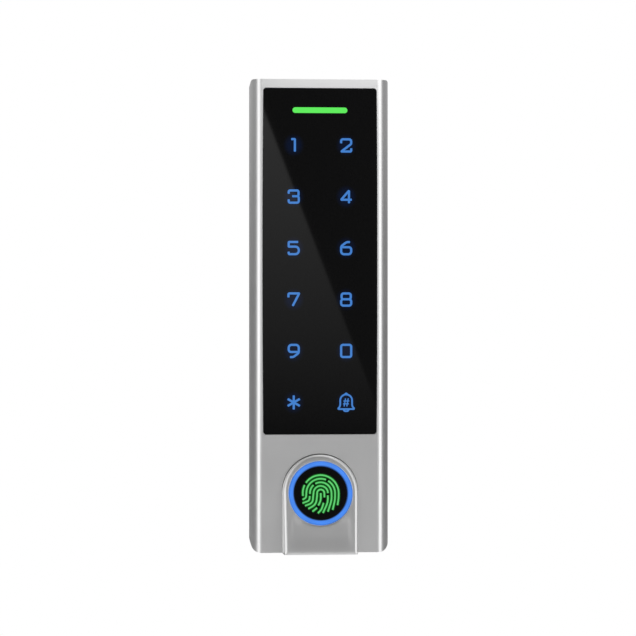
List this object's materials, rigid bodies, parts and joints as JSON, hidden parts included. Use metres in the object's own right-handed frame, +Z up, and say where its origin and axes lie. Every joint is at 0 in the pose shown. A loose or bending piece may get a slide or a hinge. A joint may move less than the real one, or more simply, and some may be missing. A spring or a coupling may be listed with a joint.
{
  "type": "keypad access reader",
  "caption": "Slim wall-mounted metal access reader with a lit touch keypad behind black glass and a round fingerprint sensor on a raised finger guide.",
  "frame": {"origin": "on the wall plane, behind the middle of the body: on the wall plate's rear face", "axes": "+X to the right as seen from the front, +Z up, +Y into the wall, so the front looks along -Y"},
  "size_m": [0.054, 0.0309, 0.185],
  "materials": {
    "silver_casting": "satin silver lacquer on zinc",
    "black_glass": "polished, printed black at the back",
    "tape": "matt",
    "blue_light": "translucent, lit blue",
    "green_light": "translucent, lit green",
    "circuit_board": "solder mask",
    "white_plastic": "matt",
    "led_resin": "clear resin",
    "copper_wire": "enamelled",
    "zinc_steel": "zinc plated",
    "stainless": "brushed",
    "black_plastic": "fine spark texture",
    "relay_case": "moulded",
    "chip_epoxy": "matt epoxy",
    "capacitor_can": "drawn can",
    "header_plastic": "natural nylon",
    "rubber": "matt",
    "lens_black": "polished",
    "cable_film": "polyimide film"
  },
  "bodies": {
    "mounting_plate": {"wall_plate": "stainless", "lug_nut": "zinc_steel"},
    "reader": {"front_housing": "silver_casting", "glass_panel": "black_glass", "panel_adhesive": "tape", "key_legends": "blue_light", "status_light_bar": "green_light", "touch_board": "circuit_board", "light_guide": "white_plastic", "key_leds": "led_resin", "antenna_coil": "copper_wire", "main_board": "circuit_board", "board_screws": "zinc_steel", "door_relay": "relay_case", "buzzer": "black_plastic", "processor_chips": "chip_epoxy", "capacitors": "capacitor_can", "wire_headers": "header_plastic", "finger_guide": "silver_casting", "guide_gasket": "rubber", "guide_screws": "zinc_steel", "sensor_ring_light": "blue_light", "ring_light_board": "circuit_board", "ring_leds": "led_resin", "sensor_lens": "lens_black", "sensor_icon": "green_light", "sensor_body": "black_plastic", "sensor_board": "circuit_board", "sensor_nut": "stainless", "sensor_cable": "cable_film", "inner_cover": "black_plastic", "cover_seal": "rubber", "cover_screws": "zinc_steel", "cable_grommet": "rubber", "tamper_spring": "stainless", "tamper_switch": "black_plastic"},
    "release_screw": {"security_screw": "stainless"},
    "tamper_pin": {"tamper_plunger": "white_plastic"}
  },
  "joints": [
    {"name": "reader_swing", "type": "hinge", "parent": "mounting_plate", "child": "reader", "pos_m": [0, -0.0032, 0.0882], "axis": [-1, 0, 0], "range_deg": [0, 12]},
    {"name": "screw_travel", "type": "slide", "parent": "mounting_plate", "child": "release_screw", "axis": [0, 0, -1], "range_m": [0, 0.0025]},
    {"name": "tamper_travel", "type": "slide", "parent": "reader", "child": "tamper_pin", "axis": [0, 1, 0], "range_m": [0, 0.0012], "stiffness_N_per_m": 300, "springref_m": 0.0012}
  ]
}
